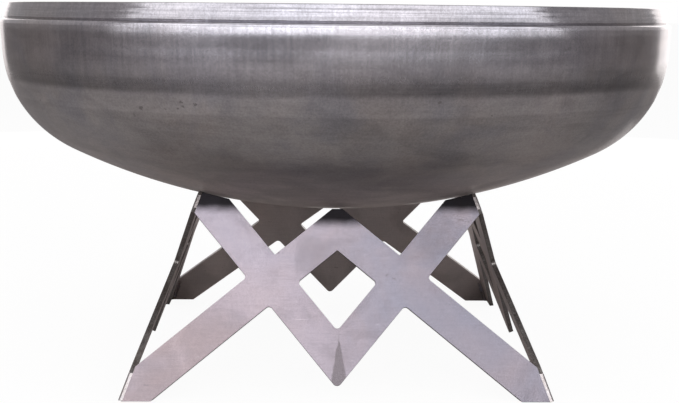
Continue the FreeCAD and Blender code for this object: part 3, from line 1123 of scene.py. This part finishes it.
@dataclass
class Dish:
    """The pressed fire dish: crown, knuckle, straight flange, groove and leaning rim band."""

    rim_height: float
    radius: float = 457.2 * MM
    wall: float = 4.8 * MM
    crown: float = 822.96 * MM
    knuckle: float = 155.448 * MM
    flange_height: float = 50.6 * MM
    joggle_height: float = 31.0 * MM
    drain_radius: float = 19.05 * MM
    pull_in: float = 0.9 * MM
    facet: Point2 = (158.5 * MM, 179.0 * MM)
    ripple: float = 0.30 * MM
    segments: int = 384

    @property
    def crown_angle(self) -> float:
        """Angle from straight down where the crown meets the knuckle."""
        return math.asin((self.radius - self.knuckle) / (self.crown - self.knuckle))

    @property
    def tangent(self) -> float:
        """Height of the tangent line over the dish's lowest point."""
        return self.crown - (self.crown - self.knuckle) * math.cos(self.crown_angle)

    @property
    def groove(self) -> float:
        """Height of the groove over the dish's lowest point."""
        return self.tangent + self.joggle_height

    @property
    def rim(self) -> float:
        """Height of the rim over the dish's lowest point."""
        return self.tangent + self.flange_height

    @property
    def bottom(self) -> float:
        """Height of the dish's lowest point over the ground."""
        return self.rim_height - self.rim

    def side_point(self, angle: float, offset: float) -> Point2:
        """Point of the crown or knuckle.

        Args:
            angle: direction from straight down, in radians.
            offset: distance inside the outer face.

        Returns:
            (distance from the axis, height).
        """
        if angle <= self.crown_angle:
            reach = self.crown - offset
            return (reach * math.sin(angle), self.crown - reach * math.cos(angle))
        return (self.radius - self.knuckle + (self.knuckle - offset) * math.sin(angle),
                self.tangent - (self.knuckle - offset) * math.cos(angle))

    def side(self, offset: float) -> list[Point2]:
        """Crown and knuckle from the drain up to the tangent line.

        Args:
            offset: distance inside the outer face.

        Returns:
            Points from the drain's edge to the tangent line.
        """
        first = math.asin(self.drain_radius / (self.crown - offset))
        crown_steps, knuckle_steps = 30, 34
        angles = [first + (self.crown_angle - first) * index / crown_steps for index in range(crown_steps)]
        angles += [self.crown_angle + (math.pi / 2.0 - self.crown_angle) * index / knuckle_steps
                   for index in range(knuckle_steps + 1)]
        return [self.side_point(angle, offset) for angle in angles]

    def flattened(self, points: list[Point2]) -> list[Point2]:
        """Straighten the stretch between the forming band's two heights, as the roller leaves it.

        Args:
            points: the outer face from the drain up.

        Returns:
            The points with that stretch's two ends only.
        """
        low, high = self.facet
        ends = [self.side_point(math.acos((self.tangent - height) / self.knuckle), 0.0)
                for height in (low, high)]
        kept = [point for point in points if point[1] < low - 1e-4 or point[1] > high + 1e-4]
        return sorted(kept + ends, key=lambda point: point[1])

    def relaxed(self, point: Point2) -> Point2:
        """Ease the straight flange inward a little below the shoulder, as the press leaves it.

        Args:
            point: a point of the outer face.

        Returns:
            The eased point.
        """
        reach, height = point
        rise = eased(self.groove - 11.0 * MM, self.tangent - 4.0 * MM, height)
        fall = eased(self.tangent - 70.0 * MM, self.tangent - 4.0 * MM, height)
        return (reach - self.pull_in * rise * fall, height)

    def outer(self) -> list[Point2]:
        """Draw the outer face.

        Returns:
            Points from the drain to the groove.
        """
        flange = [(self.radius, self.tangent + (self.joggle_height - 7.0 * MM) * index / 12.0)
                  for index in range(1, 13)]
        return [self.relaxed(point) for point in self.flattened(self.side(0.0)) + flange]

    @staticmethod
    def lip_turn(middle: Point2, degrees: tuple[float, ...]) -> list[Point2]:
        """Round one side of the lip.

        Args:
            middle: centre of the rounding.
            degrees: directions of the points.

        Returns:
            The rounding's points.
        """
        x, y, turn = middle[0], middle[1], 0.9 * MM
        return [(x + turn * math.cos(math.radians(angle)), y + turn * math.sin(math.radians(angle)))
                for angle in degrees]

    def shoulder(self) -> list[Point2]:
        """Draw the shoulder, groove and rim band up to the rounded lip, then the band's inner side.

        Returns:
            Points from the groove over the lip and down inside.
        """
        radius, groove, rim = self.radius, self.groove, self.rim
        turn = 3.2 * MM
        points = [(radius - turn + turn * math.cos(angle), groove - 1.0 * MM - turn + turn * math.sin(angle))
                  for angle in (0.0, 0.35, 0.7, 1.05, 1.35)]
        # The groove: millimetres inside the dish's radius and over the groove's height.
        points += [(radius - inside * MM, groove + over * MM) for inside, over in
                   ((4.9, -0.5), (5.4, 0.0), (5.2, 0.6), (4.6, 1.3), (4.45, 1.9))]
        # The band: share of the way up it, and how far it bows out in millimetres.
        foot = (radius - 4.5 * MM, groove + 2.4 * MM)
        lip = (radius - 8.8 * MM, rim - 0.9 * MM)
        run, rise = lip[0] - foot[0], lip[1] - foot[1]
        points += [(foot[0] + run * share + bow * MM, foot[1] + rise * share) for share, bow in
                   ((0.0, 0.0), (0.12, 0.16), (0.24, 0.32), (0.36, 0.40), (0.42, 0.18), (0.50, 0.42),
                    (0.62, 0.46), (0.70, 0.40), (0.76, 0.16), (0.88, 0.20), (1.0, 0.0))]
        points += self.lip_turn((lip[0] - 0.9 * MM, lip[1]), (25.0, 55.0, 80.0))
        points += self.lip_turn((lip[0] - self.wall + 0.9 * MM, lip[1]), (100.0, 125.0, 155.0, 180.0))
        points += [(radius - self.wall - inside * MM, groove + over * MM) for inside, over in
                   ((5.4, 1.4), (5.3, -0.5), (0.4, -5.0), (0.0, -6.5))]
        return points

    def inner(self) -> list[Point2]:
        """Inner face from the tangent line down to the drain."""
        return list(reversed(self.side(self.wall)))

    def profile(self) -> list[Point2]:
        """Close the wall section.

        Returns:
            The section's points in the frame's heights.
        """
        ring = self.outer() + self.shoulder() + self.inner()
        return [(reach, self.bottom + height) for reach, height in ring]

    def build(self, finish: bpy.types.Material, lathe: Grower) -> None:
        """Turn the shell and dress it.

        Args:
            finish: the dish's material.
            lathe: the lathe tree.
        """
        rail = self.radius * 0.5
        loop = loop_mesh("dish_profile", self.profile(), rail)
        piece = lathe.grow("dish", loop, Segments=self.segments, Rail=rail, Ripple=self.ripple,
                           Ripple_Scale=7.0, Material=finish)
        close_and_shade(piece, 32.0)
        settle(piece, Body.DISH, Slot.DISH, "bowl_shell")


@dataclass
class LatticeBase:
    """Four leaning lattice plates with softened laser-cut edges."""

    half: float = BASE_HALF
    lean: float = PLATE_LEAN
    edge: float = 0.35 * MM
    map_step: float = 1.7

    def facing(self, degrees: float) -> tuple[Vector, Vector, Vector]:
        """Directions of the plate that faces -Y turned about the upright axis.

        Args:
            degrees: the turn.

        Returns:
            Sideways, up-the-plate and outward unit vectors.
        """
        turn = Matrix.Rotation(math.radians(degrees), 3, "Z")
        lean = math.radians(self.lean)
        return (turn @ Vector((1.0, 0.0, 0.0)), turn @ Vector((0.0, math.sin(lean), math.cos(lean))),
                turn @ Vector((0.0, -math.cos(lean), math.sin(lean))))

    def map_plate(self, piece: bpy.types.Object, degrees: float, shift: float) -> None:
        """Write the plate's map in metres and mark its cut edges for the second finish.

        Args:
            piece: the plate.
            degrees: its turn from the front.
            shift: offset of its map, so that no two plates share marks.
        """
        side, up, outward = self.facing(degrees)
        origin = Matrix.Rotation(math.radians(degrees), 3, "Z") @ Vector((0.0, -self.half, 0.0))
        mesh = piece.data
        layer = mesh.uv_layers.new(name="plate")
        for polygon in mesh.polygons:
            facing = polygon.normal.dot(outward)
            flat, level = 0.9, 0.99
            polygon.material_index = 0 if facing > flat else 2 if facing < -flat else 1
            polygon.use_smooth = abs(facing) < level
            along = outward.cross(polygon.normal)
            for loop in polygon.loop_indices:
                point = mesh.vertices[mesh.loops[loop].vertex_index].co - origin
                if polygon.material_index != 1:
                    layer.data[loop].uv = (point.dot(side) + shift, point.dot(up))
                else:
                    layer.data[loop].uv = (point.dot(along.normalized()) + shift, point.dot(outward))

    def build(self, nodes: dict[str, bpy.types.Object], face: bpy.types.Material, edge: bpy.types.Material,
              inside: bpy.types.Material) -> None:
        """Build the four plates.

        Args:
            nodes: the frame's nodes by name.
            face: finish of the outer faces.
            edge: finish of the cut edges.
            inside: finish of the inner faces, a lighter copy that is painted light.
        """
        for index, name in enumerate(("front", "right", "back", "left")):
            node = "base_plate_" + name
            piece = softened_copy(nodes[node], "lattice_plate_" + name, self.edge)
            for finish in (face, edge, inside):
                piece.data.materials.append(finish)
            self.map_plate(piece, 90.0 * index, -self.map_step * index)
            settle(piece, Body.BASE, Slot.PLATE, node)


@dataclass
class CornerWelds:
    """Ground outside seams and rippled inside fillets at the base's corners."""

    half: float = BASE_HALF
    plate: float = 6.35 * MM
    lean: float = PLATE_LEAN
    foot: Point2 = (3.0 * MM, 31.0 * MM)
    top: Point2 = (232.5 * MM, 244.0 * MM)
    pitch: float = 2.3 * MM
    width: float = 3.4 * MM
    clear: float = 1.4 * MM

    def corner_point(self, height: float, degrees: float) -> Vector:
        """Find a point of an inside corner line, a little clear of it.

        Args:
            height: height over the ground.
            degrees: the corner's turn from the front right one.

        Returns:
            The point.
        """
        lean = math.radians(self.lean)
        reach = self.half - self.plate / math.cos(lean) - height * math.tan(lean) - self.clear
        return Matrix.Rotation(math.radians(degrees), 3, "Z") @ Vector((reach, -reach, height))

    def build(self, nodes: dict[str, bpy.types.Object], ground: bpy.types.Material, raw: bpy.types.Material,
              beads: Grower) -> None:
        """Dress the ground seams and lay the ripples over the inside fillets.

        Args:
            nodes: the frame's nodes by name.
            ground: finish of the seams.
            raw: finish of the ripples.
            beads: the weld ripple tree.
        """
        runs = []
        for index, corner in enumerate(("front_right", "back_right", "back_left", "front_left")):
            for kind, heights in (("foot", self.foot), ("top", self.top)):
                node = nodes["%s_weld_%s" % (kind, corner)]
                node.data.materials.clear()
                node.data.materials.append(ground)
                low, high = (self.corner_point(height, 90.0 * index) for height in heights)
                runs.append((low, high))
        piece = beads.grow("fillet_ripples", edges_mesh("fillet_runs", runs), Pitch=self.pitch,
                           Width=self.width, Seed=4, Material=raw)
        smooth_all(piece)
        settle(piece, Body.BASE, Slot.WELD)


@dataclass
class Grate:
    """Lift-out log grate: ring, parallel bars, two bearers, four legs and the welds between them."""

    top: float
    diameter: float = 609.6 * MM
    ring_wall: float = 6.35 * MM
    ring_depth: float = 25.4 * MM
    bar: float = 12.7 * MM
    bar_count: int = 11
    bar_pitch: float = 54.0 * MM
    bearer_spread: float = 240.0 * MM
    edge: float = 1.3 * MM

    @property
    def core(self) -> float:
        """Radius inside the ring."""
        return self.diameter / 2.0 - self.ring_wall

    def ring_profile(self) -> list[Point2]:
        """Draw the flat bar's section with rounded edges.

        Returns:
            The section's points in the frame's heights.
        """
        turn = 1.1 * MM
        out, into = self.diameter / 2.0 - turn, self.core + turn
        high, low = self.top - turn, self.top - self.ring_depth + turn
        points = []
        for reach, height, start in ((out, high, 0.0), (into, high, 90.0), (into, low, 180.0), (out, low, 270.0)):
            for step in (0.0, 30.0, 60.0, 90.0):
                angle = math.radians(start + step)
                points.append((reach + turn * math.cos(angle), height + turn * math.sin(angle)))
        return points

    def weld_runs(self) -> list[tuple[Vector, Vector]]:
        """Lay out short weld runs beside each bar's ends and at its crossings with the bearers.

        Returns:
            Both ends of each run.
        """
        runs = []
        for index in range(self.bar_count):
            x = (index - (self.bar_count - 1) / 2.0) * self.bar_pitch
            for way in (-1.0, 1.0):
                for hand in (-1.0, 1.0):
                    beside = x + hand * (self.bar / 2.0 + 0.4 * MM)
                    reach = math.sqrt(self.core ** 2 - beside ** 2) - 0.8 * MM
                    runs.append((Vector((beside, way * reach, self.top - 2.5 * MM)),
                                 Vector((beside, way * reach, self.top - self.bar + 1.5 * MM))))
                end = way * self.bearer_spread / 2.0
                side = x + self.bar / 2.0 + 0.4 * MM
                under = self.top - self.bar - 0.2 * MM
                if math.hypot(side, end) < self.core - 12.0 * MM:
                    runs.append((Vector((side, end - 4.0 * MM, under)), Vector((side, end + 4.0 * MM, under))))
        return runs

    def build(self, nodes: dict[str, bpy.types.Object], finish: bpy.types.Material, weld: bpy.types.Material,
              lathe: Grower, bars: Grower, beads: Grower) -> None:
        """Build and dress the grate.

        Args:
            nodes: the frame's nodes by name.
            finish: the bars' finish.
            weld: the welds' finish.
            lathe: the lathe tree.
            bars: the trimmed bars tree.
            beads: the weld ripple tree.
        """
        ring = lathe.grow("grate_hoop", loop_mesh("hoop_profile", self.ring_profile(), self.core),
                          Segments=256, Rail=self.core, Ripple=0.0, Ripple_Scale=1.0, Material=finish)
        close_and_shade(ring, 40.0)
        settle(ring, Body.GRATE, Slot.GRATE, "grate_ring")
        rows = (("grate_slats", self.bar_count, self.bar_pitch, self.top - self.bar / 2.0, 0.0,
                 ["grate_bar_%02d" % (index + 1) for index in range(self.bar_count)]),
                ("grate_bearers", 2, self.bearer_spread, self.top - 1.5 * self.bar, math.pi / 2.0,
                 ["grate_bearer_front", "grate_bearer_back"]))
        for name, count, pitch, height, turn, stands_for in rows:
            row = bars.grow(name, edges_mesh(name + "_seed", []), Count=count, Pitch=pitch, Section=self.bar,
                            Edge=self.edge, Length=self.diameter, Core=self.core, Height=height, Turn=turn,
                            Material=finish)
            close_and_shade(row, 40.0)
            settle(row, Body.GRATE, Slot.GRATE, *stands_for)
        for name in ("front_left", "front_right", "back_left", "back_right"):
            leg = softened_copy(nodes["grate_leg_" + name], "grate_foot_" + name, 1.2 * MM, 3)
            leg.data.materials.append(finish)
            settle(leg, Body.GRATE, Slot.GRATE, "grate_leg_" + name)
        welds = beads.grow("grate_ripples", edges_mesh("grate_runs", self.weld_runs()), Pitch=2.0 * MM,
                           Width=1.9 * MM, Seed=9, Material=weld)
        smooth_all(welds)
        settle(welds, Body.GRATE, Slot.GRATE)


# ---------------------------------------------------------------- studio


@dataclass(frozen=True)
class Studio:
    """Camera, soft lights, pale floor and surround."""

    camera_place: Vector
    yaw: float = 1.53
    pitch: float = -8.915
    roll: float = 0.61
    lens: float = 63.81

    def build_camera(self) -> None:
        """Put the camera at the rim's height in front of the pit."""
        yaw, pitch, roll = (math.radians(angle) for angle in (self.yaw, self.pitch, self.roll))
        ahead = Vector((math.sin(yaw) * math.cos(pitch), math.cos(yaw) * math.cos(pitch), math.sin(pitch)))
        right = Vector((math.cos(yaw), -math.sin(yaw), 0.0))
        up = right.cross(ahead)
        side = right * math.cos(roll) + up * math.sin(roll)
        top = up * math.cos(roll) - right * math.sin(roll)
        data = bpy.data.cameras.new("camera")
        data.lens = self.lens
        data.sensor_width = 36.0
        data.clip_end = 100.0
        camera = bpy.data.objects.new("camera", data)
        turn = Matrix((side, top, -ahead)).transposed()
        camera.matrix_world = Matrix.Translation(self.camera_place) @ turn.to_4x4()
        bpy.context.scene.collection.objects.link(camera)
        bpy.context.scene.camera = camera

    @staticmethod
    def add_panel(name: str, place: Vector, target: Vector, size: Point2, radiance: float,
                  colour: tuple[float, float, float] = (1.0, 1.0, 1.0)) -> None:
        """Add a rectangular soft light that isn't seen by the camera.

        Args:
            name: the light's name.
            place: its centre.
            target: the point it faces.
            size: width and height in metres.
            radiance: brightness of its face.
            colour: tint.
        """
        data = bpy.data.lights.new(name, "AREA")
        data.shape = "RECTANGLE"
        data.size, data.size_y = size
        data.energy = radiance * math.pi * size[0] * size[1]
        data.color = colour
        lamp = bpy.data.objects.new(name, data)
        turn = (target - place).to_track_quat("-Z", "Y").to_matrix().to_4x4()
        lamp.matrix_world = Matrix.Translation(place) @ turn
        lamp.visible_camera = False
        bpy.context.scene.collection.objects.link(lamp)

    def build_lights(self) -> None:
        """Three rows of panels round the camera, one overhead, and a lit field and sweep behind."""
        distance = 3.0
        # Each row: its name, lowest and highest edge, degrees to a panel, and brightness from left to right.
        rows = (("low", 0.415, 0.60, 20.0, (1.9, 3.6, 4.7, 4.6, 4.8, 4.2, 2.1)),
                ("middle", 0.70, 1.62, 45.0, (1.4, 1.75, 1.4)), ("high", 1.62, 2.9, 45.0, (2.1, 2.7, 2.2)))
        for row, low, high, step, levels in rows:
            middle = (low + high) / 2.0
            width = 2.0 * distance * math.tan(math.radians(step / 2.0))
            for index, level in enumerate(levels):
                angle = math.radians(step * (index - (len(levels) - 1) / 2.0))
                place = Vector((distance * math.sin(angle), -distance * math.cos(angle), middle))
                self.add_panel("panel_%s_%d" % (row, index), place, Vector((0.0, 0.0, middle)),
                               (width, high - low), level)
        for name, place, target, size, level, colour in (
                ("panel_top", (0.0, -0.3, 3.6), (0.0, 0.0, 0.0), (3.4, 2.6), 0.9, (1.0, 1.0, 1.0)),
                ("panel_back_right", (1.35, 2.90, 1.0), (0.0, 0.0, 0.7), (3.15, 2.0), 1.3, (1.0, 0.95, 0.94)),
                ("panel_back_left", (-1.25, 2.95, 1.0), (0.0, 0.0, 0.7), (1.6, 2.0), 1.0, (1.0, 0.93, 0.92)),
                ("panel_sweep", (0.45, 2.05, 0.004), (0.45, 2.05, 1.0), (1.1, 2.8), 0.9, (1.0, 0.93, 0.91))):
            self.add_panel(name, Vector(place), Vector(target), size, level, colour)

    def build_surround(self) -> None:
        """Make a white surround for the camera and a dim one for the steel to mirror."""
        world = bpy.data.worlds.new("surround")
        world.use_nodes = True
        world.node_tree.nodes.clear()
        shade = Shade(world.node_tree)
        rays = shade.node("ShaderNodeLightPath")
        ground = shade.node("ShaderNodeBackground")
        shade.feed(ground.inputs["Color"], shade.blend(rays.outputs["Is Camera Ray"], (0.44, 0.42, 0.43, 1.0),
                                                       (1.0, 1.0, 1.0, 1.0)))
        output = shade.node("ShaderNodeOutputWorld")
        shade.feed(output.inputs["Surface"], ground.outputs[0])
        bpy.context.scene.world = world

    def build_floor(self) -> None:
        """Lay a wide pale floor that mirrors darker than it looks."""
        mesh = bpy.data.meshes.new("floor")
        reach = 80.0
        corners = [(-reach, -reach, 0), (reach, -reach, 0), (reach, reach, 0), (-reach, reach, 0)]
        mesh.from_pydata(corners, [], [(0, 1, 2, 3)])
        floor = bpy.data.objects.new("floor", mesh)
        floor.location.z = -0.0005
        bpy.context.scene.collection.objects.link(floor)
        material = bpy.data.materials.new("floor_paint")
        material.use_nodes = True
        material.node_tree.nodes.clear()
        shade = Shade(material.node_tree)
        rays = shade.node("ShaderNodeLightPath")
        paint = shade.node("ShaderNodeBsdfDiffuse")
        paint.inputs["Color"].default_value = (0.8, 0.8, 0.8, 1.0)
        dark = shade.node("ShaderNodeBsdfDiffuse")
        dark.inputs["Color"].default_value = (0.38, 0.36, 0.355, 1.0)
        glow = shade.node("ShaderNodeEmission")
        glow.inputs["Color"].default_value = (1.0, 1.0, 1.0, 1.0)
        glow.inputs["Strength"].default_value = 1.02
        seen = shade.node("ShaderNodeMixShader")
        seen.inputs[0].default_value = 0.92
        shade.feed(seen.inputs[1], paint.outputs[0])
        shade.feed(seen.inputs[2], glow.outputs[0])
        pick = shade.node("ShaderNodeMixShader")
        shade.feed(pick.inputs[0], rays.outputs["Is Camera Ray"])
        shade.feed(pick.inputs[1], dark.outputs[0])
        shade.feed(pick.inputs[2], seen.outputs[0])
        output = shade.node("ShaderNodeOutputMaterial")
        shade.feed(output.inputs["Surface"], pick.outputs[0])
        mesh.materials.append(material)

    def build(self) -> None:
        """Build the whole studio."""
        self.build_camera()
        self.build_lights()
        self.build_surround()
        self.build_floor()
        view = bpy.context.scene.view_settings
        view.view_transform = "Standard"
        view.look = "None"


def main() -> None:
    """Build the studio and every piece."""
    logging.basicConfig(level=logging.INFO, format="%(message)s")
    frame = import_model()
    nodes = frame["nodes"]
    rim_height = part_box("bowl_shell")[1].z
    Studio(camera_place=Vector((-0.0383, -1.7186, rim_height - 0.0092))).build()
    effects = Effects.build()
    lathe, bars, beads = lathe_tree(), bars_tree(), bead_tree()
    dish = Dish(rim_height=rim_height)
    dish.build(DishFinish(dish.bottom, dish.groove, dish.tangent, dish.radius).build(effects), lathe)
    outside = PlateFinish("plate_outer_finish", stain_foot=16.5 * MM)
    # The inner faces get a lighter copy of the plate finish: painted light, lifting faces that sit in the dish's
    # shade.
    inside = PlateFinish("plate_inner_lightened_finish", stain_foot=-1.0, colour=(0.60, 0.545, 0.535, 1.0),
                         pink=(0.57, 0.49, 0.465, 1.0), blue=(0.49, 0.47, 0.48, 1.0),
                         dull=(0.25, 0.22, 0.21, 1.0), gloss=(0.48, 0.38), warp=(0.0, 0.0), shaded_top=0.3)
    LatticeBase().build(nodes, outside.build(effects), CutEdgeFinish().build(effects), inside.build(effects))
    raw_weld = WeldFinish(WeldState.AS_WELDED).build(effects)
    CornerWelds().build(nodes, WeldFinish(WeldState.GROUND).build(effects), raw_weld, beads)
    grate = Grate(top=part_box("grate_ring")[1].z)
    grate.build(nodes, ScaleFinish().build(effects), raw_weld, lathe, bars, beads)


if __name__ == "__main__":
    main()
